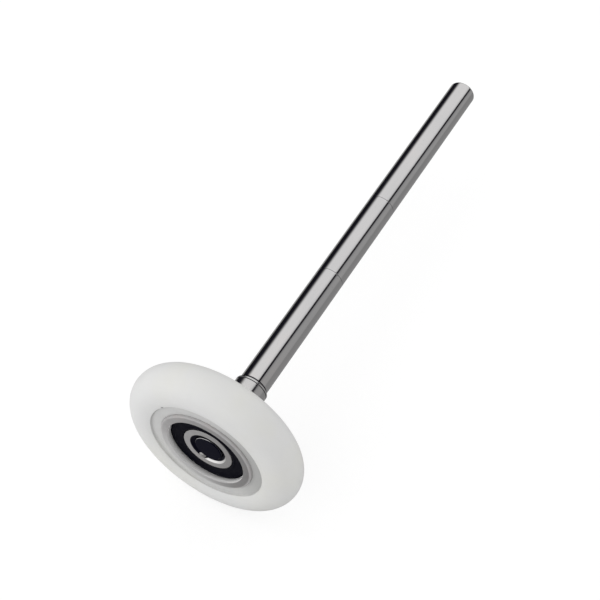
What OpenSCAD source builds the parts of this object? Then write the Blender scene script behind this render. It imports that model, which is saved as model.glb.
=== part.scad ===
// Garage door roller: a full-round nylon wheel moulded on a sealed ball bearing,
// which runs on the end of a long plain steel stem. The stem slides in a hinge tube.
// Millimetres. The origin is the centre of the wheel, and +Y runs along the axis
// from the wheel to the free tip of the stem.

/* [Wheel] */
// Diameter of the wheel over its tread
wheel_d = 68; // [62:0.5:78]
// Radius of the full-round tread section
tread_r = 7.8; // [7.6:0.1:9.2]
// Radial width of the recessed face between the bearing and the tread
recess_w = 4.1; // [3:0.1:5]
// Width of the hub between its two recessed faces
hub_w = 12.2; // [11:0.2:12.8]
// Depth of the groove that keys the moulded wheel to the outer ring
key_depth = 0.6; // [0.3:0.1:0.8]
// Width of that groove
key_w = 4; // [2:0.5:6]

/* [Bearing rings] */
// Thickness of the outer ring from its land to its outside
outer_ring_wall = 3.7; // [3.2:0.1:4.2]
// Width of the outer ring
outer_ring_w = 14.2; // [13:0.2:16]
// How far the outer ring's mouth stands outside its land, which makes the ledge behind each seal
mouth_step = 0.4; // [0.2:0.05:0.8]
// Thickness of the inner ring from its bore to its outside
inner_ring_wall = 4.3; // [3.8:0.05:4.6]
// How far each face of the inner ring lies behind the outer ring's face
inner_set_back = 1.8; // [1.2:0.1:2]
// Radial width of the countersink at the front of the bore
sink_w = 1.85; // [1:0.05:2]
// Depth of that countersink
sink_depth = 1.3; // [1.1:0.1:2]
// Chamfer on the outside edges of both rings
ring_chamfer = 0.4; // [0.2:0.1:0.6]

/* [Balls and cage] */
// Number of balls
ball_n = 8; // [6:1:8]
// Diameter of a ball
ball_d = 6.35; // [5.9:0.05:6.5]
// Depth of each raceway below its ring's land
race_depth = 0.7; // [0.5:0.05:0.9]
// Radius of a raceway groove as a share of the ball's diameter
race_share = 0.52; // [0.515:0.005:0.54]
// Gap between a ball and each raceway
ball_gap = 0.06; // [0.03:0.01:0.1]
// Gap between a ball and its pocket in the cage
pocket_gap = 0.12; // [0.08:0.01:0.2]
// Thickness of the cage's sheet
cage_t = 0.4; // [0.3:0.05:0.5]
// Radial width of the cage's ribbon
cage_w = 2.6; // [2:0.1:3]
// Diameter of a cage rivet's shank
rivet_d = 0.9; // [0.6:0.1:1]
// Diameter of a cage rivet's heads
rivet_head_d = 1.5; // [1.3:0.1:1.6]
// Height of each rivet head
rivet_head_h = 0.3; // [0.2:0.05:0.4]

/* [Seals] */
// Thickness of a seal at its bead
seal_t = 1; // [0.8:0.05:1.1]
// Thickness of a seal between its bead and its lip
seal_web_t = 0.6; // [0.4:0.05:0.7]
// Depth of the groove that the seal's bead snaps into
bead_depth = 0.35; // [0.2:0.05:0.5]
// Width of the bead across its rim
bead_w = 0.9; // [0.6:0.1:1.2]
// Gap between the seal's lip and the inner ring
lip_gap = 0.15; // [0.1:0.05:0.3]
// Width of the lip
lip_w = 1; // [0.6:0.1:1.4]
// How far a seal's face lies behind the inner ring's face
seal_set_back = 0.1; // [0.05:0.05:0.3]

/* [Stem] */
// Diameter of the stem where it slides in its tube
stem_d = 11.1; // [10.5:0.1:12]
// How much lower, on the radius, the stem is ground where the bearing and the sleeve sit
seat_step = 0.2; // [0.16:0.02:0.3]
// Length of the conical shoulder from the seat up to the stem's full diameter
shoulder_l = 0.3; // [0.2:0.05:0.6]
// Whole length of the stem
stem_l = 205; // [90:1:260]
// How far the stem's front end lies behind the inner ring's face
end_set_back = 0.05; // [0:0.05:1.1]
// Chamfer on the stem's front end
front_chamfer = 0.35; // [0.1:0.05:0.6]
// Radius on the edge of the stem's free tip
tip_r = 0.9; // [0.3:0.1:1.5]
// Wall of the spacer sleeve behind the bearing
sleeve_wall = 1.05; // [0.6:0.05:1.5]
// Length of the spacer sleeve
sleeve_l = 19.1; // [8:0.1:40]
// Chamfer on the spacer sleeve's free end
sleeve_chamfer = 0.3; // [0.1:0.05:0.4]

/* [Hidden] */
$fn = 96;
// Overlap of a cutting shape past the face that it cuts
cut = 1;

// Radii, from the stem outwards
ball_r = ball_d / 2;
stem_r = stem_d / 2;
seat_r = stem_r - seat_step;
sleeve_r = seat_r + sleeve_wall;
inner_r = seat_r + inner_ring_wall;
pitch_r = inner_r + ball_r - race_depth;
outer_land_r = pitch_r + ball_r - race_depth;
mouth_r = outer_land_r + mouth_step;
outer_r = outer_land_r + outer_ring_wall;
recess_r = outer_r + recess_w;
tread_centre_r = wheel_d / 2 - tread_r;

outer_face_y = outer_ring_w / 2;
inner_face_y = outer_face_y - inner_set_back;
seal_face_y = inner_face_y - seal_set_back;
seal_back_y = seal_face_y - seal_t;

race_r = race_share * ball_d;
outer_race_centre_r = pitch_r + ball_r + ball_gap - race_r;
inner_race_centre_r = pitch_r - ball_r - ball_gap + race_r;
pocket_r = ball_r + pocket_gap;

stem_front_y = end_set_back - inner_face_y;
stem_tip_y = stem_front_y + stem_l;
sleeve_end_y = inner_face_y + sleeve_l;

BALLS = [for (i = [1:ball_n]) str("ball_", i)];

// A piece turned about Z stands along +Y
module along_y() {
    rotate([-90, 0, 0]) children();
}

// A section drawn as radius and height, turned about the roller's axis
module turned() {
    along_y() rotate_extrude() children();
}

// A rectangle of a section, from one radius to another and one height to another
module band(r1, r2, y1, y2) {
    translate([r1, y1]) square([r2 - r1, y2 - y1]);
}

// The same rectangle on both sides of the wheel's middle plane
module band_pair(r1, r2, y1, y2) {
    band(r1, r2, y1, y2);
    band(r1, r2, -y2, -y1);
}

// The triangle that chamfers an outside corner at (r, y); the signs say where the solid lies
module corner_cut(r, y, size, r_sign, y_sign) {
    polygon([[r - r_sign * cut, y + y_sign * size + y_sign * cut], [r - r_sign * cut, y - y_sign * cut],
             [r + r_sign * (size + cut), y - y_sign * cut]]);
}

// Places a copy at every ball, or at every gap between two balls
module at_balls(half_step = 0) {
    for (i = [0:ball_n - 1])
        rotate([0, 0, (i + half_step) * 360 / ball_n]) translate([pitch_r, 0, 0]) children();
}

module wheel() {
    color("whitesmoke") turned() difference() {
        union() {
            translate([tread_centre_r, 0]) circle(r = tread_r);
            band(outer_r - key_depth, tread_centre_r, -key_w / 2, key_w / 2);
            band(outer_r, tread_centre_r, -hub_w / 2, hub_w / 2);
        }
        band_pair(0, recess_r, hub_w / 2, tread_r + cut);
        band_pair(0, outer_r, key_w / 2, tread_r + cut);
        band(0, outer_r - key_depth, -key_w, key_w);
    }
}

module outer_ring() {
    color("silver") turned() difference() {
        union() {
            band(mouth_r, outer_r, -outer_face_y, outer_face_y);
            band(outer_land_r, outer_r, -seal_back_y, seal_back_y);
        }
        translate([outer_race_centre_r, 0]) circle(r = race_r);
        band_pair(outer_land_r, mouth_r + bead_depth, seal_back_y, seal_face_y);
        band(outer_r - key_depth, outer_r + cut, -key_w / 2, key_w / 2);
        for (s = [-1, 1]) {
            corner_cut(outer_r, s * outer_face_y, ring_chamfer, -1, -s);
            corner_cut(mouth_r, s * outer_face_y, ring_chamfer / 2, 1, -s);
        }
    }
}

module inner_ring() {
    color("lightgray") turned() difference() {
        band(seat_r, inner_r, -inner_face_y, inner_face_y);
        translate([inner_race_centre_r, 0]) circle(r = race_r);
        polygon([[seat_r, -inner_face_y], [seat_r + sink_w, -inner_face_y], [seat_r, sink_depth - inner_face_y]]);
        for (s = [-1, 1])
            corner_cut(inner_r, s * inner_face_y, ring_chamfer / 2, -1, -s);
    }
}

// Rubber disc: a bead in the outer ring's groove, a thin web and a lip round the inner ring
module seal_section() {
    lip_r = inner_r + lip_gap;
    bead_r = mouth_r + bead_depth;
    band(lip_r, bead_r, seal_face_y - seal_web_t, seal_face_y);
    band(bead_r - bead_w, bead_r, seal_back_y, seal_face_y);
    band(lip_r, lip_r + lip_w, seal_back_y, seal_face_y);
}

module back_seal() {
    color("#1c1c22") turned() seal_section();
}

module front_seal() {
    color("#1c1c22") turned() mirror([0, 1]) seal_section();
}

// One pressed half of the ribbon cage, on the +Z side of the balls' plane
module cage_half() {
    difference() {
        intersection() {
            union() {
                cylinder(r = pitch_r + cage_w, h = cage_t);
                at_balls() sphere(r = pocket_r + cage_t);
            }
            rotate_extrude() band(pitch_r - cage_w / 2, pitch_r + cage_w / 2, 0, pocket_r + 2 * cage_t);
        }
        at_balls() sphere(r = pocket_r);
        at_balls(0.5) translate([0, 0, -cut]) cylinder(d = rivet_d, h = cage_t + 2 * cut, $fn = 32);
    }
}

module cage_back() {
    color("goldenrod") along_y() cage_half();
}

module cage_front() {
    color("goldenrod") along_y() mirror([0, 0, 1]) cage_half();
}

module rivet() {
    cylinder(d = rivet_d, h = 2 * cage_t, center = true, $fn = 32);
    for (s = [-1, 1])
        translate([0, 0, s * (cage_t + rivet_head_h / 2)])
            cylinder(d = rivet_head_d, h = rivet_head_h, center = true, $fn = 32);
}

module cage_rivets() {
    color("darkgoldenrod") along_y() at_balls(0.5) rivet();
}

module ball(i) {
    color("gainsboro") along_y()
        rotate([0, 0, (i - 1) * 360 / ball_n]) translate([pitch_r, 0, 0]) sphere(r = ball_r);
}

// Straight bar with a chamfered front end, a seat that ends at a low shoulder, and a rounded free tip
module stem() {
    color("silver") turned() {
        polygon([[0, stem_front_y], [seat_r - front_chamfer, stem_front_y], [seat_r, stem_front_y + front_chamfer],
                 [seat_r, sleeve_end_y], [stem_r, sleeve_end_y + shoulder_l],
                 [stem_r, stem_tip_y - tip_r], [0, stem_tip_y - tip_r]]);
        band(0, stem_r - tip_r, stem_tip_y - tip_r, stem_tip_y);
        intersection() {
            translate([stem_r - tip_r, stem_tip_y - tip_r]) circle(r = tip_r);
            band(stem_r - tip_r, stem_r, stem_tip_y - tip_r, stem_tip_y);
        }
    }
}

// Thin tube pressed on the seat, which keeps the bearing its own length away from the shoulder
module spacer_sleeve() {
    color("silver") turned() difference() {
        band(seat_r, sleeve_r, inner_face_y, sleeve_end_y);
        corner_cut(sleeve_r, sleeve_end_y, sleeve_chamfer, -1, -1);
    }
}

wheel();
outer_ring();
inner_ring();
front_seal();
back_seal();
cage_front();
cage_back();
cage_rivets();
stem();
spacer_sleeve();
for (i = [1:ball_n])
    ball(i);
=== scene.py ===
import math

import bpy
import numpy as np
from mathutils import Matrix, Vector


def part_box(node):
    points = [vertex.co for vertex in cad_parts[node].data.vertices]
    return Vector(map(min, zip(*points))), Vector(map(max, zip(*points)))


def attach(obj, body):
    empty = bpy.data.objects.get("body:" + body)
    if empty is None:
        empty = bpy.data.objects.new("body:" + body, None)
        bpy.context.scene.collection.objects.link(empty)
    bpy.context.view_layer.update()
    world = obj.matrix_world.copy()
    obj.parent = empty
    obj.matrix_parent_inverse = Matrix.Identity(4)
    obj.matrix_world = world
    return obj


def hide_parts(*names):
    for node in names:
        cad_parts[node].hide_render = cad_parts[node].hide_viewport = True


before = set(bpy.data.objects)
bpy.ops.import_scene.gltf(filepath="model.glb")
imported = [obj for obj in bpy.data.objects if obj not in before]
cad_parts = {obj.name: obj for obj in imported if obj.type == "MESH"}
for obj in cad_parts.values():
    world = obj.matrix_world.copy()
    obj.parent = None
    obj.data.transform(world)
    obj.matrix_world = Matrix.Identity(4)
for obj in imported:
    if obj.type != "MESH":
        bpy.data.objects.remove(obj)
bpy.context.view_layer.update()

# ---------------------------------------------------------------- sizes, in millimetres
MM = 0.001


def far_corner(node):
    """The highest corner of a CAD node, in millimetres."""
    return [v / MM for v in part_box(node)[1]]


def near_corner(node):
    """The lowest corner of a CAD node, in millimetres."""
    return [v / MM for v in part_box(node)[0]]


WHEEL_R, TREAD_R, _ = far_corner("wheel")
OUTER_R, OUTER_HALF, _ = far_corner("outer_ring")
INNER_R, INNER_HALF, _ = far_corner("inner_ring")
BEAD_R, SEAL_FACE, _ = far_corner("back_seal")
SEAL_BACK = near_corner("back_seal")[1]
STEM_R, STEM_TIP, _ = far_corner("stem")
STEM_FRONT = near_corner("stem")[1]
SLEEVE_R, SLEEVE_END, _ = far_corner("spacer_sleeve")

# Wheel: half widths are measured from its middle plane
TREAD_CENTRE = WHEEL_R - TREAD_R
HUB_HALF = 6.1
RECESS_R = OUTER_R + 4.1
RECESS_FILLET = 0.3
KEY_DEPTH = 0.6
KEY_HALF = 2.0

# Bearing: the mouths of the outer ring open out by the flare
BEAD_DEPTH = 0.35
BEAD_W = 0.9
MOUTH_R = BEAD_R - BEAD_DEPTH
MOUTH_STEP = 0.4
FLARE = 0.25
OUTER_FILLET = 0.75
RING_FILLET = 0.15
LAND_R = MOUTH_R - MOUTH_STEP
BALL_R = 3.175
BALL_GAP = 0.06
RACE_R = 3.302
PITCH_R = (INNER_R + LAND_R) / 2

# Seals: a lip beside the inner ring, and a web that is dished between two ribs
LIP_R = INNER_R + 0.15
LIP_W = 1.0
RIB_W = 0.9
RIB_SLOPE = 0.2
DISH_DEPTH = 0.18
WEB_T = 0.6

# Stem, its seat and the sleeve
SEAT_R = STEM_R - 0.2
SINK_R = SEAT_R + 1.85
SINK_DEPTH = 1.3
SHOULDER_L = 0.3
FRONT_CHAMFER = 0.35
TIP_FILLET = 0.9
RIM_W = 0.87
RIM_GROOVE = 0.12
RIM_EASE = 0.35
# Two fine lines scored round the stem, at these distances from the wheel's middle plane
SCORE_PLACES = (82.0, 124.2)
SCORE_DEPTH = 0.04

# Where marks, painted shade and painted highlights lie: degrees round the axis from +Z towards +X, and how
# far out the nick is
NICK_DEG = 315.45
NICK_R = RECESS_R + 0.26
RIM_SHADE_DEG = 302
RECESS_SHADE_DEG = 77
LIT_EDGE_DEG = 139.5
LIT_FACE_DEG = 215
END_SHADE_DEG = 70
STAKE_DEG = 204

# ---------------------------------------------------------------- turned shapes
# Points on the arc of a fillet, and how far from its corner the points beside it lie, in reaches
ROUND_STEPS = 7
BESIDE = 1.3


def rounded(corners):
    """A section's corners (radius, place, fillet) as a smooth line of points.

    A corner with a fillet f becomes an arc that starts and ends at f / tan(half the corner's angle)
    from the corner, about a centre on the bisector at f / sin(half the angle), with one more point
    a little way out on each side, so that the flats beside it stay flat in shading."""
    table = np.array(corners, float)
    point, fillet = table[:, :2], table[:, 2:]
    back = np.roll(point, 1, axis=0) - point
    ahead = np.roll(point, -1, axis=0) - point
    back /= np.maximum(np.linalg.norm(back, axis=1, keepdims=True), 1e-9)
    ahead /= np.maximum(np.linalg.norm(ahead, axis=1, keepdims=True), 1e-9)
    half = np.arccos(np.clip((back * ahead).sum(1, keepdims=True), -1, 1)) / 2
    reach = fillet / np.maximum(np.tan(half), 1e-6)
    middle = back + ahead
    middle /= np.maximum(np.linalg.norm(middle, axis=1, keepdims=True), 1e-9)
    centre = point + middle * fillet / np.maximum(np.sin(half), 1e-6)
    start = point + back * reach - centre
    end = point + ahead * reach - centre
    sweep = np.pi - 2 * half
    share = np.linspace(0, 1, ROUND_STEPS)[None, :, None]
    turn = np.maximum(np.sin(sweep), 1e-9)[:, :, None]
    arc = (np.sin((1 - share) * sweep[:, :, None]) * start[:, None]
           + np.sin(share * sweep[:, :, None]) * end[:, None]) / turn + centre[:, None]
    sharp = (fillet < 1e-9)[:, :, None]
    arc = np.where(sharp, point[:, None], arc)
    before = point + back * reach * BESIDE
    after = point + ahead * reach * BESIDE
    line = np.concatenate([before[:, None], arc, after[:, None]], axis=1).reshape(-1, 2)
    step = np.linalg.norm(line - np.roll(line, 1, axis=0), axis=1)
    return line[step > 1e-5]


def arc(centre_r, radius, start_deg, end_deg, count):
    """Points (centre_r + radius cos t, radius sin t) of a round groove or tread, as unfilleted corners."""
    t = np.radians(np.linspace(start_deg, end_deg, count))
    return np.stack([centre_r + radius * np.cos(t), radius * np.sin(t), 0 * t], axis=1).tolist()


def rings_of(section, steps):
    """A section (radius r, place y) turned round the Y axis: x = r sin a, z = r cos a for all angles a."""
    angle = np.linspace(0, 2 * np.pi, steps, endpoint=False)
    r, y = section[:, :1] * MM, section[:, 1:] * MM
    return np.stack([r * np.sin(angle), y + 0 * angle, r * np.cos(angle)], axis=2)


def turned(name, section, steps):
    """A closed section turned into a ring: each row of the grid joins the next, and the last the first."""
    grid = rings_of(section, steps)
    index = np.arange(grid.shape[0] * steps).reshape(-1, steps)
    nearby = np.roll(index, -1, axis=1)
    faces = np.stack([index, nearby, np.roll(nearby, -1, axis=0), np.roll(index, -1, axis=0)], axis=2)
    return new_piece(name, grid.reshape(-1, 3), faces.reshape(-1, 4).tolist())


def fanned(name, grid, poles):
    """Rings of points, one row each, joined row to row and closed at both ends by a fan round a pole."""
    rows, steps = grid.shape[:2]
    vertices = np.concatenate([grid.reshape(-1, 3), poles])
    index = np.arange(rows * steps).reshape(rows, steps)
    nearby = np.roll(index, -1, axis=1)
    sides = np.stack([index[:-1], nearby[:-1], nearby[1:], index[1:]], axis=2).reshape(-1, 4)
    first = np.full(steps, rows * steps)
    start = np.stack([first, nearby[0], index[0]], axis=1)
    end = np.stack([first + 1, index[-1], nearby[-1]], axis=1)
    return new_piece(name, vertices, sides.tolist() + start.tolist() + end.tolist())


def turned_bar(name, section, steps):
    """A section that starts and ends on the axis, turned: its end rings shrink to the two poles."""
    grid = rings_of(section, steps)
    return fanned(name, grid[1:-1], grid[[0, -1], 0])


def signed_volume(mesh):
    """Six times the volume that the faces enclose: the sum of a . (b x c) over all triangles."""
    mesh.calc_loop_triangles()
    corners = np.zeros(len(mesh.loop_triangles) * 3, np.int32)
    mesh.loop_triangles.foreach_get("vertices", corners)
    place = np.zeros(len(mesh.vertices) * 3)
    mesh.vertices.foreach_get("co", place)
    a, b, c = place.reshape(-1, 3)[corners.reshape(-1, 3)].transpose(1, 0, 2)
    return float((a * np.cross(b, c)).sum())


def new_piece(name, vertices, faces):
    """A smooth mesh object at the origin, with its faces pointing outwards."""
    mesh = bpy.data.meshes.new(name)
    mesh.from_pydata(vertices.tolist(), [], faces)
    if signed_volume(mesh) < 0:
        mesh.flip_normals()
    mesh.polygons.foreach_set("use_smooth", np.ones(len(mesh.polygons), bool))
    mesh.update()
    piece = bpy.data.objects.new(name, mesh)
    bpy.context.scene.collection.objects.link(piece)
    return piece


def dress(piece, body, slot, finish, *nodes):
    """Sets a piece's body and finish, and the CAD nodes that it stands for; the slot is not used."""
    piece.data.materials.append(finish)
    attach(piece, body)
    if nodes:
        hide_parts(*nodes)


# ---------------------------------------------------------------- shader expressions
class Value:
    """A number from a socket. Arithmetic on it adds Math nodes to its tree."""

    def __init__(self, finish, socket):
        self.finish, self.socket = finish, socket

    def maths(self, operation, *inputs):
        return self.finish.add("ShaderNodeMath", {"operation": operation}, dict(enumerate(inputs)))

    def __add__(self, other):
        return self.maths("ADD", self, other)

    def __sub__(self, other):
        return self.maths("SUBTRACT", self, other)

    def __rsub__(self, other):
        return self.maths("SUBTRACT", other, self)

    def __mul__(self, other):
        return self.maths("MULTIPLY", self, other)

    def __truediv__(self, other):
        return self.maths("DIVIDE", self, other)

    __radd__ = __add__
    __rmul__ = __mul__

    def root(self):
        return self.maths("SQRT", self)

    def size(self):
        return self.maths("ABSOLUTE", self)

    def larger(self, other):
        return self.maths("MAXIMUM", self, other)

    def clamped(self, low=0.0, high=1.0):
        return self.finish.add("ShaderNodeClamp", inputs={0: self, 1: low, 2: high})


class Finish:
    """The node tree of a material or of the world."""

    def __init__(self, tree):
        self.tree = tree
        tree.nodes.clear()

    def add(self, kind, settings=None, inputs=None, output=0):
        """Adds a node: its settings first, then the values or links of its sockets."""
        node = self.tree.nodes.new(kind)
        for key, value in (settings or {}).items():
            if key == "stops":
                self.set_stops(node.color_ramp.elements, value)
            else:
                setattr(node, key, value)
        for key, value in (inputs or {}).items():
            if isinstance(value, Value):
                self.tree.links.new(value.socket, node.inputs[key])
            else:
                node.inputs[key].default_value = value
        return Value(self, node.outputs[output] if node.outputs else None)

    @staticmethod
    def set_stops(elements, stops):
        """A ramp's stops, each a place and a grey or a colour."""
        while len(elements) < len(stops):
            elements.new(1.0)
        for element, (place, colour) in zip(elements, stops):
            element.position = place
            element.color = grey(colour)

    def object_place(self):
        """Object coordinates, as a vector in metres."""
        return self.add("ShaderNodeTexCoord", output=3)

    def parts(self, vector):
        """The three numbers of a vector."""
        split = self.add("ShaderNodeSeparateXYZ", inputs={0: vector})
        return [Value(self, socket) for socket in split.socket.node.outputs]

    def rays(self, *kinds):
        """1 for a ray of any of these kinds, such as Camera or Glossy."""
        outputs = self.add("ShaderNodeLightPath").socket.node.outputs
        first, *others = (Value(self, outputs["Is %s Ray" % kind]) for kind in kinds)
        for other in others:
            first = first.larger(other)
        return first

    def noise(self, place, scale, detail=3.0, roughness=0.5, stretch=(1, 1, 1)):
        """Noise from 0 to 1, drawn out along the axes where stretch is small."""
        moved = self.add("ShaderNodeMapping", inputs={"Vector": place, "Scale": stretch})
        return self.add("ShaderNodeTexNoise", inputs={
            "Vector": moved, "Scale": scale, "Detail": detail, "Roughness": roughness})

    def ramp(self, value, *stops):
        """A value turned into the colours of a ramp."""
        return self.add("ShaderNodeValToRGB", {"stops": stops}, {0: value})

    def band(self, value, low, high, soft):
        """1 where the value lies between low and high, 0 elsewhere, with soft edges."""
        middle, half = (low + high) / 2, (high - low) / 2
        return ((half - (value - middle).size()) / soft + 0.5).clamped()

    def mix(self, share, first, second):
        """A mix of two colours: all of the second where the share is 1."""
        return self.add("ShaderNodeMix", {"data_type": "RGBA"}, {0: share, 6: first, 7: second}, output=2)

    def bump(self, height, strength, distance, normal=None):
        """A bump of a height, on top of another one if that is given."""
        inputs = {"Height": height, "Strength": strength, "Distance": distance}
        if normal is not None:
            inputs["Normal"] = normal
        return self.add("ShaderNodeBump", inputs=inputs)

    def surface(self, **inputs):
        """The principled surface, linked to the output."""
        named = {key.replace("_", " "): value for key, value in inputs.items()}
        shader = self.add("ShaderNodeBsdfPrincipled", inputs=named)
        self.add("ShaderNodeOutputMaterial", inputs={0: shader})


def grey(colour):
    """A colour with alpha 1, from a grey or from three numbers."""
    red, green, blue = (colour,) * 3 if isinstance(colour, (int, float)) else colour
    return (red, green, blue, 1.0)


def facing(x, z, degrees):
    """How far a point lies towards an angle round the axis: the cosine of the angle between them."""
    turn = math.radians(degrees)
    return (x * math.sin(turn) + z * math.cos(turn)) / (x * x + z * z).root()


def new_finish(name):
    """A new material and its tree."""
    material = bpy.data.materials.new(name)
    material.use_nodes = True
    return material, Finish(material.node_tree)


# ---------------------------------------------------------------- finishes
# Specular level of what is black: the steel painted black as shade, and the rubber seals
SHADE_AND_RUBBER_SHINE = 0.03


def moulded_nylon():
    """White nylon: faint warm mottle, a matt grain, and painted shade in the recess, with a painted shade
    line in the crease round it, darker on one side, and a nick on its edge."""
    material, tree = new_finish("moulded_nylon")
    place = tree.object_place()
    x, y, z = (axis / MM for axis in tree.parts(place))
    radius = (x * x + z * z).root()
    front = tree.band(y, -TREAD_R - 1, 0, 0.5)
    mottle = tree.noise(place, 28, 3, 0.55)
    cloud = tree.noise(place, 70, 4, 0.6)
    shade_mottle = tree.noise(place, 260, 4, 0.6)
    colour = tree.ramp(mottle, (0.3, 0.745), (0.48, (0.75, 0.75, 0.742)), (0.6, (0.75, 0.748, 0.715)),
                       (0.72, (0.755, 0.733, 0.725)))
    colour = tree.mix(0.06, colour, tree.ramp(cloud, (0.35, 0.55), (0.65, 0.85)))
    recess = tree.band(radius, OUTER_R - 1, RECESS_R - 0.15, 0.5)
    # Painted shade: the recess is painted greyer, as shade would fall in it, with a mottle in how much
    colour = tree.mix(recess * (0.5 + 0.3 * shade_mottle), colour, grey((0.5, 0.5, 0.495)))
    # Painted shade: a dark line in the crease round the recess, mottled, and darker on one side
    rim_shade_side = (2.2 * facing(x, z, RIM_SHADE_DEG) - 1.3).clamped()
    rim = tree.band(radius, RECESS_R - 0.35, RECESS_R + 0.12, 0.25)
    colour = tree.mix(rim * (0.1 + 0.3 * shade_mottle + 0.45 * rim_shade_side), colour, grey((0.38, 0.38, 0.37)))
    # Painted shade: the recess in front is painted greyer on the other side
    recess_shade_side = (1.8 * (facing(x, z, RECESS_SHADE_DEG) - 0.4)).clamped()
    whole_recess = tree.band(radius, OUTER_R - 1, RECESS_R + 0.05, 0.3)
    colour = tree.mix(0.6 * whole_recess * recess_shade_side * front, colour, grey((0.35, 0.35, 0.345)))
    # A small dark nick on the recess's edge
    nick_turn = math.radians(NICK_DEG)
    off_x = x - NICK_R * math.sin(nick_turn)
    off_z = z - NICK_R * math.cos(nick_turn)
    nick = (1.7 - (off_x * off_x + off_z * off_z).root() / 0.45).clamped()
    colour = tree.mix(0.9 * nick * front, colour, grey(0.05))
    scuff = tree.noise(place, 900, 3, 0.6, (1, 0.25, 1))
    tread = tree.band(radius, WHEEL_R - 1.6, WHEEL_R + 1, 1.2)
    roughness = 0.42 + 0.1 * cloud + 0.12 * tread * scuff
    grain = tree.bump(tree.noise(place, 2600, 2, 0.5), 0.12, 0.00006)
    skin = tree.bump(tree.noise(place, 120, 3, 0.5), 0.1, 0.0002, grain)
    tree.surface(Base_Color=colour, Roughness=roughness, Normal=skin)
    return material


def turned_steel():
    """Bearing steel: ground faces with fine rings about the axis, a little browned in places, painted
    shade and a painted highlight in the countersink, pale painted light on the mouths, and a painted
    highlight on one side of the outer ring's face."""
    material, tree = new_finish("turned_steel")
    place = tree.object_place()
    x, y, z = (axis / MM for axis in tree.parts(place))
    radius = (x * x + z * z).root()
    front = tree.band(y, -INNER_HALF - 1, 0, 0.2)
    rings = tree.add("ShaderNodeTexNoise", {"noise_dimensions": "1D"},
                     {"W": radius * 6 + y * 2, "Scale": 1.0, "Detail": 4.0, "Roughness": 0.7})
    patch = tree.noise(place, 180, 4, 0.6)
    grain = tree.noise(place, 2200, 2, 0.5)
    colour = tree.ramp(patch, (0.3, (0.52, 0.5, 0.5)), (0.5, (0.55, 0.545, 0.545)),
                       (0.7, (0.57, 0.54, 0.53)))
    colour = tree.mix(0.35 * grain, colour, grey((0.4, 0.38, 0.38)))
    # Painted shade: the countersink is painted near-black, but for a painted highlight on the part of its
    # edge that catches the light
    lit_edge_side = (8 * (facing(x, z, LIT_EDGE_DEG) - 0.65) + 0.5).clamped()
    sink_shade = tree.band(radius, SEAT_R - 1, SINK_R - 0.05 - 0.52 * lit_edge_side, 0.1) * front
    sink_highlight = tree.band(radius, SINK_R - 0.62, SINK_R + 0.05, 0.1) * lit_edge_side * front
    colour = tree.mix(sink_highlight, colour, grey((0.86, 0.85, 0.84)))
    colour = tree.mix(sink_shade, colour, grey((0.003, 0.003, 0.009)))
    # Painted light: the outer ring's mouth is painted pale and matt, so that it reads lit rather than
    # shaded
    mouth = tree.band(radius, MOUTH_R - 0.2, MOUTH_R + FLARE, 0.1)
    colour = tree.mix(mouth, colour, grey((0.95, 0.94, 0.93)))
    # Painted highlight: the outer ring's face is painted lighter on one side, mottled
    lit_face_side = (1.6 * (facing(x, z, LIT_FACE_DEG) - 0.25)).clamped()
    face_highlight = tree.band(radius, MOUTH_R, OUTER_R + 1, 0.2) * lit_face_side * (0.6 + 0.4 * patch)
    colour = tree.mix(face_highlight, colour, grey((0.76, 0.755, 0.75)))
    corner = tree.band(radius, OUTER_R - 0.7, OUTER_R + 1, 0.3)
    roughness = 0.26 + 0.16 * rings + 0.1 * grain + 0.15 * mouth + 0.3 * corner
    tree.surface(Base_Color=colour, Metallic=1 - mouth - sink_shade - 0.6 * corner, Roughness=roughness,
                 Specular_IOR_Level=SHADE_AND_RUBBER_SHINE, Normal=tree.bump(rings, 0.25, 0.00003))
    return material


def peened_steel():
    """Steel lump with the flats of the peening tool and a bright, slightly blotched skin."""
    material, tree = new_finish("peened_steel")
    place = tree.object_place()
    flats = tree.noise(place, 900, 2, 0.5)
    patch = tree.noise(place, 1800, 4, 0.6)
    colour = tree.ramp(patch, (0.35, (0.38, 0.37, 0.37)), (0.65, (0.52, 0.51, 0.505)))
    tree.surface(Base_Color=colour, Metallic=1.0, Roughness=0.3 + 0.2 * patch,
                 Normal=tree.bump(flats, 0.3, 0.00012))
    return material


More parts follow.
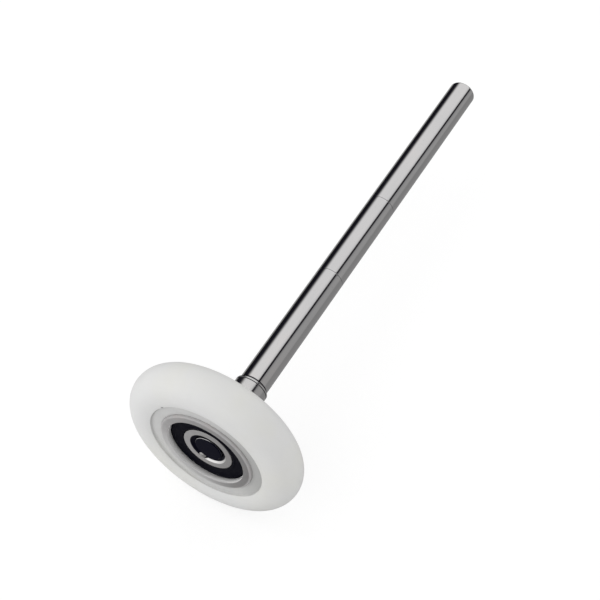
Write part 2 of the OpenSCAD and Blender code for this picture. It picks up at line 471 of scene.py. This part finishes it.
def drawn_bar():
    """Bright plated bar: fine lengthwise drawing lines, faint clouding and pits, dark score lines, a
    painted shade line where the sleeve's end meets it, and a front end painted black as shade."""
    material, tree = new_finish("drawn_bar")
    place = tree.object_place()
    x, y, z = (axis / MM for axis in tree.parts(place))
    lines = tree.noise(place, 900, 3, 0.6, (1, 0.012, 1))
    cloud = tree.noise(place, 90, 4, 0.6, (1, 0.35, 1))
    pits = tree.ramp(tree.noise(place, 1500, 3, 0.6), (0.66, 0.0), (0.74, 1.0))
    colour = tree.ramp(cloud, (0.3, (0.55, 0.545, 0.55)), (0.6, (0.58, 0.57, 0.57)),
                       (0.75, (0.6, 0.575, 0.57)))
    colour = tree.mix(0.3 * pits, colour, grey((0.36, 0.33, 0.33)))
    for middle in SCORE_PLACES:
        scored = tree.band(y, middle - 0.13, middle + 0.13, 0.08)
        colour = tree.mix(0.6 * scored, colour, grey((0.1, 0.1, 0.11)))
    # Painted shade: a dark band on the bar where the sleeve's end meets it
    sleeve_end_shade = tree.band(y, SLEEVE_END - 0.3, SLEEVE_END + 1.0, 0.15)
    colour = tree.mix(0.95 * sleeve_end_shade, colour, grey((0.02, 0.02, 0.025)))
    # Painted shade: the front end is painted near-black, and the dark reaches a little further back on one
    # side, dimming the chamfer's glint there
    side = (2 * facing(x, z, END_SHADE_DEG) - 0.6).clamped()
    end_shade = tree.band(y, STEM_FRONT - 1, STEM_FRONT + 0.23 + 0.17 * side, 0.12)
    colour = tree.mix(end_shade, colour, grey((0.002, 0.002, 0.009)))
    roughness = 0.05 + 0.04 * lines + 0.03 * cloud + 0.12 * pits + 0.4 * end_shade
    tree.surface(Base_Color=colour, Metallic=1 - end_shade, Roughness=roughness,
                 Specular_IOR_Level=SHADE_AND_RUBBER_SHINE, Normal=tree.bump(lines, 0.12, 0.00002))
    return material


def sleeve_plating():
    """Plated tube of the spacer sleeve: as bright as the bar, with painted shade round its bore and in its
    rim groove.
    """
    material, tree = new_finish("sleeve_plating")
    place = tree.object_place()
    x, y, z = (axis / MM for axis in tree.parts(place))
    radius = (x * x + z * z).root()
    rings = tree.noise(place, 700, 3, 0.6, (0.1, 1, 0.1))
    cloud = tree.noise(place, 220, 4, 0.6)
    colour = tree.ramp(cloud, (0.3, (0.54, 0.535, 0.535)), (0.7, (0.6, 0.585, 0.58)))
    # Painted shade: dark round the bore where it meets the stem, and in the groove behind the rim
    bore_shade = tree.band(radius, SEAT_R - 1, STEM_R + 0.12, 0.08)
    groove = tree.band(y, SLEEVE_END - 1.05, SLEEVE_END - 0.7, 0.08)
    colour = tree.mix(bore_shade.larger(0.95 * groove), colour, grey((0.02, 0.02, 0.025)))
    roughness = 0.08 + 0.06 * rings + 0.05 * cloud
    tree.surface(Base_Color=colour, Metallic=1.0, Roughness=roughness,
                 Normal=tree.bump(rings, 0.12, 0.00002))
    return material


def seal_rubber():
    """Black moulded rubber with a faint bloom and a grain."""
    material, tree = new_finish("seal_rubber")
    place = tree.object_place()
    bloom = tree.noise(place, 160, 4, 0.6)
    grain = tree.noise(place, 2400, 3, 0.6)
    colour = tree.ramp(bloom, (0.4, (0.003, 0.003, 0.007)), (0.7, (0.009, 0.009, 0.013)))
    tree.surface(Base_Color=colour, Roughness=0.5 + 0.2 * bloom, Specular_IOR_Level=SHADE_AND_RUBBER_SHINE,
                 Normal=tree.bump(grain, 0.2, 0.00004))
    return material


def ball_steel():
    """Polished ball steel with hair scratches."""
    material, tree = new_finish("ball_steel")
    place = tree.object_place()
    scratch = tree.noise(place, 1400, 4, 0.7, (1, 0.08, 1))
    film = tree.noise(place, 300, 3, 0.5)
    colour = tree.ramp(film, (0.3, (0.66, 0.66, 0.66)), (0.7, (0.72, 0.71, 0.69)))
    tree.surface(Base_Color=colour, Metallic=1.0, Roughness=0.06 + 0.1 * scratch,
                 Normal=tree.bump(scratch, 0.05, 0.00001))
    return material


def cage_steel():
    """Pressed sheet steel of the cage, filmed with grease."""
    material, tree = new_finish("cage_steel")
    place = tree.object_place()
    grease = tree.noise(place, 350, 4, 0.6)
    rolled = tree.noise(place, 1200, 3, 0.6, (1, 1, 0.1))
    colour = tree.ramp(grease, (0.35, (0.42, 0.38, 0.31)), (0.7, (0.56, 0.53, 0.47)))
    tree.surface(Base_Color=colour, Metallic=1.0, Roughness=0.28 + 0.25 * rolled,
                 Normal=tree.bump(rolled, 0.15, 0.00003))
    return material


nylon = moulded_nylon()
bearing_steel = turned_steel()
lump_steel = peened_steel()
bar_plating = drawn_bar()
tube_plating = sleeve_plating()
rubber = seal_rubber()
polished = ball_steel()
pressed = cage_steel()

# ---------------------------------------------------------------- wheel
# Angle and place at which the round tread meets the recess, and where its own points start
RIM_DEG = math.degrees(math.acos((RECESS_R - TREAD_CENTRE) / TREAD_R))
RIM_PLACE = TREAD_R * math.sin(math.radians(RIM_DEG))
TREAD_DEG = RIM_DEG - 6


def wheel_section():
    """Hub faces, recess walls with softened edges, and the full-round tread."""
    return rounded([
        (OUTER_R - KEY_DEPTH, -KEY_HALF, 0), (OUTER_R - KEY_DEPTH, KEY_HALF, 0), (OUTER_R, KEY_HALF, 0),
        (OUTER_R, HUB_HALF, 0.12), (RECESS_R, HUB_HALF, RECESS_FILLET),
        (RECESS_R, RIM_PLACE, RECESS_FILLET), *arc(TREAD_CENTRE, TREAD_R, TREAD_DEG, -TREAD_DEG, 61),
        (RECESS_R, -RIM_PLACE, RECESS_FILLET), (RECESS_R, -HUB_HALF, RECESS_FILLET),
        (OUTER_R, -HUB_HALF, 0.12), (OUTER_R, -KEY_HALF, 0)])


dress(turned("moulded_wheel", wheel_section(), 256), "wheel", "nylon", nylon, "wheel")

# ---------------------------------------------------------------- bearing
OUTER_RACE_CENTRE = PITCH_R + BALL_R + BALL_GAP - RACE_R
INNER_RACE_CENTRE = PITCH_R - BALL_R - BALL_GAP + RACE_R
RACE_DEG = math.degrees(math.acos((LAND_R - OUTER_RACE_CENTRE) / RACE_R))


def outer_ring_section():
    """Ring with eased edges, seal grooves behind each mouth, and a round raceway."""
    return rounded([
        (OUTER_R, -OUTER_HALF, OUTER_FILLET), (OUTER_R, -KEY_HALF, 0), (OUTER_R - KEY_DEPTH, -KEY_HALF, 0),
        (OUTER_R - KEY_DEPTH, KEY_HALF, 0), (OUTER_R, KEY_HALF, 0), (OUTER_R, OUTER_HALF, OUTER_FILLET),
        (MOUTH_R + FLARE, OUTER_HALF, RING_FILLET), (MOUTH_R, SEAL_FACE, 0), (BEAD_R, SEAL_FACE, 0),
        (BEAD_R, SEAL_BACK, 0), (LAND_R, SEAL_BACK, 0.1),
        *arc(OUTER_RACE_CENTRE, RACE_R, RACE_DEG, -RACE_DEG, 21),
        (LAND_R, -SEAL_BACK, 0.1), (BEAD_R, -SEAL_BACK, 0), (BEAD_R, -SEAL_FACE, 0),
        (MOUTH_R, -SEAL_FACE, 0), (MOUTH_R + FLARE, -OUTER_HALF, RING_FILLET)])


def inner_ring_section():
    """Ring with a round raceway outside, and a bowl-shaped countersink at the front of its bore."""
    return rounded([
        (INNER_R, INNER_HALF, RING_FILLET),
        *arc(INNER_RACE_CENTRE, RACE_R, 180 - RACE_DEG, 180 + RACE_DEG, 21),
        (INNER_R, -INNER_HALF, RING_FILLET), (SINK_R, -INNER_HALF, RING_FILLET),
        (SINK_R - 0.65, 0.75 - INNER_HALF, RING_FILLET), (SINK_R - 1.2, 1.1 - INNER_HALF, 0.1),
        (SEAT_R, SINK_DEPTH - INNER_HALF, 0), (SEAT_R, INNER_HALF, 0)])


def seal_section(side):
    """Rubber disc: lip, a shallow dished web between two low ribs, and the bead in its groove."""
    face, dish = side * SEAL_FACE, side * (SEAL_FACE - DISH_DEPTH)
    web, back = side * (SEAL_FACE - WEB_T), side * SEAL_BACK
    inner_rib, outer_rib = LIP_R + RIB_W, MOUTH_R - RIB_W - RIB_SLOPE
    return rounded([
        (LIP_R, face, 0.12), (inner_rib, face, 0.12), (inner_rib + RIB_SLOPE, dish, 0.08),
        (outer_rib - RIB_SLOPE, dish, 0.1), (outer_rib, face, 0.12), (BEAD_R, face, 0), (BEAD_R, back, 0),
        (BEAD_R - BEAD_W, back, 0.05), (BEAD_R - BEAD_W, web, 0.05), (LIP_R + LIP_W, web, 0.05),
        (LIP_R + LIP_W, back, 0.05), (LIP_R, back, 0.1)])


outer_ring = turned("bearing_outer_ring", outer_ring_section(), 224)
inner_ring = turned("bearing_inner_ring", inner_ring_section(), 160)
dress(outer_ring, "wheel", "bearing_steel", bearing_steel, "outer_ring")
dress(inner_ring, "stem", "bearing_steel", bearing_steel, "inner_ring")
dress(turned("rubber_seal_front", seal_section(-1), 192), "wheel", "seal_rubber", rubber, "front_seal")
dress(turned("rubber_seal_back", seal_section(1), 192), "wheel", "seal_rubber", rubber, "back_seal")


def stake():
    """Small lump of metal peened over the stem's end: an egg whose radii are its three half sizes,
    place = centre + outward spread cos u cos v + axial rise cos u sin v + around width sin u."""
    spread, rise, width = 1.1, 0.72, 1.4
    turn = math.radians(STAKE_DEG)
    outward = np.array([math.sin(turn), 0, math.cos(turn)])
    around = np.array([math.cos(turn), 0, -math.sin(turn)])
    axial = np.array([0, 1.0, 0])
    centre = outward * (SEAT_R + 1.15) + axial * (0.5 - INNER_HALF)
    u = np.linspace(-np.pi / 2, np.pi / 2, 17)[1:-1, None, None]
    v = np.linspace(0, 2 * np.pi, 32, endpoint=False)[None, :, None]
    side = spread * np.cos(u) * np.cos(v) * outward + rise * np.cos(u) * np.sin(v) * axial
    poles = np.stack([centre - width * around, centre + width * around])
    return fanned("peened_stake", (centre + side + width * np.sin(u) * around) * MM, poles * MM)


dress(stake(), "stem", "bearing_steel", lump_steel)

# ---------------------------------------------------------------- stem and sleeve


def score(place):
    """A fine V groove round the stem, with a point on each side that keeps the bar's shading straight."""
    return [(STEM_R, place - 0.3, 0), (STEM_R, place - 0.1, 0), (STEM_R - SCORE_DEPTH, place, 0),
            (STEM_R, place + 0.1, 0), (STEM_R, place + 0.3, 0)]


def stem_section():
    """Bar from its chamfered front end, over the seat and the low shoulder, to its round-edged tip."""
    grooves = [corner for place in SCORE_PLACES for corner in score(place)]
    return rounded([
        (0, STEM_FRONT, 0), (SEAT_R - FRONT_CHAMFER, STEM_FRONT, 0.08),
        (SEAT_R, STEM_FRONT + FRONT_CHAMFER, 0.08), (SEAT_R, SLEEVE_END, 0),
        (STEM_R, SLEEVE_END + SHOULDER_L, 0.05), *grooves,
        (STEM_R, STEM_TIP, TIP_FILLET), (0, STEM_TIP, 0)])


def sleeve_section():
    """Thin tube with a shallow groove behind the rim of its free end, and an eased bore."""
    rim = SLEEVE_END - RIM_W
    return rounded([
        (SEAT_R, INNER_HALF, 0), (SLEEVE_R, INNER_HALF, 0.1), (SLEEVE_R, rim - 0.2, 0.02),
        (SLEEVE_R - RIM_GROOVE, rim, 0.02), (SLEEVE_R, rim + 0.2, 0.02), (SLEEVE_R, SLEEVE_END, 0.2),
        (SEAT_R + RIM_EASE, SLEEVE_END, 0.05), (SEAT_R, SLEEVE_END - RIM_EASE, 0)])


dress(turned_bar("long_stem", stem_section(), 160), "stem", "plated_steel", bar_plating, "stem")
dress(turned("spacer_tube", sleeve_section(), 160), "stem", "plated_steel", tube_plating, "spacer_sleeve")

# ---------------------------------------------------------------- balls and cage
carried_over = {"cage_front": pressed, "cage_back": pressed, "cage_rivets": pressed}
carried_over.update({name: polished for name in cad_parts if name.startswith("ball_")})
for name, finish in carried_over.items():
    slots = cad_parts[name].data.materials
    slots.clear()
    slots.append(finish)

# ---------------------------------------------------------------- camera
VIEW_AZIMUTH = math.radians(29.44)
VIEW_ELEVATION = math.radians(51.43)
VIEW_DISTANCE = 0.4775
AIM = Vector((0.007026, 0.046889, 0.029806))
LENS = 82.81

looking = Vector((-math.sin(VIEW_AZIMUTH) * math.cos(VIEW_ELEVATION),
                  math.cos(VIEW_AZIMUTH) * math.cos(VIEW_ELEVATION), -math.sin(VIEW_ELEVATION)))
camera = bpy.data.objects.new("camera", bpy.data.cameras.new("camera"))
bpy.context.scene.collection.objects.link(camera)
camera.data.lens = LENS
camera.data.sensor_width = 36
camera.location = AIM - VIEW_DISTANCE * looking
camera.rotation_euler = looking.to_track_quat("-Z", "Y").to_euler()
bpy.context.scene.camera = camera

# ---------------------------------------------------------------- studio
FLOOR_LEVEL = -WHEEL_R * MM
CARD_LIFT = 0.0004
# What the dark gaps between the lights reflect
INKY = (0.009, 0.009, 0.016)


def flat_sheet(name, x_range, y_range, level):
    """A level rectangle of four corners."""
    (x0, x1), (y0, y1) = x_range, y_range
    vertices = np.array([(x0, y0, level), (x1, y0, level), (x1, y1, level), (x0, y1, level)])
    mesh = bpy.data.meshes.new(name)
    mesh.from_pydata(vertices.tolist(), [], [(0, 1, 2, 3)])
    sheet = bpy.data.objects.new(name, mesh)
    bpy.context.scene.collection.objects.link(sheet)
    return sheet


def floor_white():
    """Pale floor: white where it is seen, in mirrors too, apart from the soft shadow it keeps."""
    material, tree = new_finish("floor_white")
    glow = tree.add("ShaderNodeEmission", inputs={"Color": grey(1.0), "Strength": 0.72})
    shaded = tree.add("ShaderNodeBsdfDiffuse", inputs={"Color": grey(0.34)})
    white = tree.add("ShaderNodeAddShader", inputs={0: glow, 1: shaded})
    matt = tree.add("ShaderNodeBsdfDiffuse", inputs={"Color": grey(0.86)})
    seen = tree.rays("Camera", "Glossy", "Transmission")
    surface = tree.add("ShaderNodeMixShader", inputs={0: seen, 1: matt, 2: white})
    tree.add("ShaderNodeOutputMaterial", inputs={0: surface})
    return material


def card_grey():
    """Grey card that only reflections see: beside the stem it is dark on the left, and ahead of the
    wheel it is paler towards the left."""
    material, tree = new_finish("card_grey")
    x, y, _ = tree.parts(tree.object_place())
    beside = tree.ramp(x / 0.6 + 0.5, (0.0, 0.012), (0.335, 0.012), (0.355, 0.42), (0.5, 0.34),
                       (0.8, 0.34), (0.95, 0.44))
    ahead = (0.6 - 10 * x + 8 * y).clamped(0.3, 0.72)
    tone = tree.mix(tree.band(y, -2, 0.005, 0.01), beside, ahead)
    glow = tree.add("ShaderNodeEmission", inputs={"Color": tone, "Strength": 1.0})
    tree.add("ShaderNodeOutputMaterial", inputs={0: glow})
    return material


floor = flat_sheet("floor", (-6, 6), (-6, 6), FLOOR_LEVEL)
floor.data.materials.append(floor_white())
card = flat_sheet("grey_card", (-6, 6), (-6, 6), FLOOR_LEVEL + CARD_LIFT)
card.data.materials.append(card_grey())
card.visible_camera = False
card.visible_diffuse = False
card.visible_shadow = False
card.visible_transmission = False


def round_the_stem(tree, turn, *stops):
    """A ramp over a turn round the stem's axis, whose stops are degrees from -180 to 180."""
    return tree.ramp(turn / 360 + 0.5, *[(0.5 + degrees / 360, tone) for degrees, tone in stops])


def studio_world():
    """White surroundings for the eye, even light for the shapes, and for reflections the bands
    of a studio: an overhead softbox between dark gaps, with a grey wall on the right."""
    world = bpy.data.worlds.new("studio")
    bpy.context.scene.world = world
    world.use_nodes = True
    tree = Finish(world.node_tree)
    x, y, z = tree.parts(tree.add("ShaderNodeTexCoord"))
    turn = x.maths("ARCTAN2", x, z) * (180 / math.pi)
    # The dark gap on the right leans away towards the far end of the stem
    far = (y - 0.51).clamped(0, 0.2)
    turn = turn - 110 * far * (turn / 25).clamped()
    bands = round_the_stem(
        tree, turn, (-180, 0.4), (-124, 0.4), (-118, INKY), (-70, INKY), (-62, 0.1), (-54, 0.42),
        (-46, 0.9), (-37, 1.05), (14, 1.05), (25, 0.9), (30, 0.7), (32, INKY), (43, INKY), (47, 0.34),
        (60, 0.46), (92, 0.46), (105, 0.35), (180, 0.35))
    # Ahead of the wheel the wall is one broad bright field
    field = round_the_stem(
        tree, turn, (-180, 0.4), (-125, 0.4), (-110, 1.0), (30, 1.0), (60, 0.42), (180, 0.4))
    bands = tree.mix(((0.35 - y) / 0.15).clamped(), bands, field)
    light = tree.mix(tree.rays("Glossy"), grey(0.85), bands)
    light = tree.mix(tree.rays("Camera", "Transmission"), light, grey(1.0))
    background = tree.add("ShaderNodeBackground", inputs={"Color": light, "Strength": 1.0})
    tree.add("ShaderNodeOutputWorld", inputs={0: background})


studio_world()


def softbox(name, place, aim, size, watts):
    """A square area lamp that mirrors don't show, because the world's bands give the reflections."""
    light = bpy.data.lights.new(name, "AREA")
    light.size = size
    light.energy = watts
    lamp = bpy.data.objects.new(name, light)
    lamp.location = place
    lamp.rotation_euler = (Vector(aim) - Vector(place)).to_track_quat("-Z", "Y").to_euler()
    lamp.visible_glossy = False
    bpy.context.scene.collection.objects.link(lamp)


softbox("key_softbox", (-0.45, -0.05, 0.6), (0, 0.03, 0), 0.5, 0.5)
softbox("fill_softbox", (-0.5, -0.42, 0.05), (0, 0, 0), 0.3, 0.72)

bpy.context.scene.view_settings.view_transform = "Standard"

# ---------------------------------------------------------------- end
bpy.context.view_layer.update()
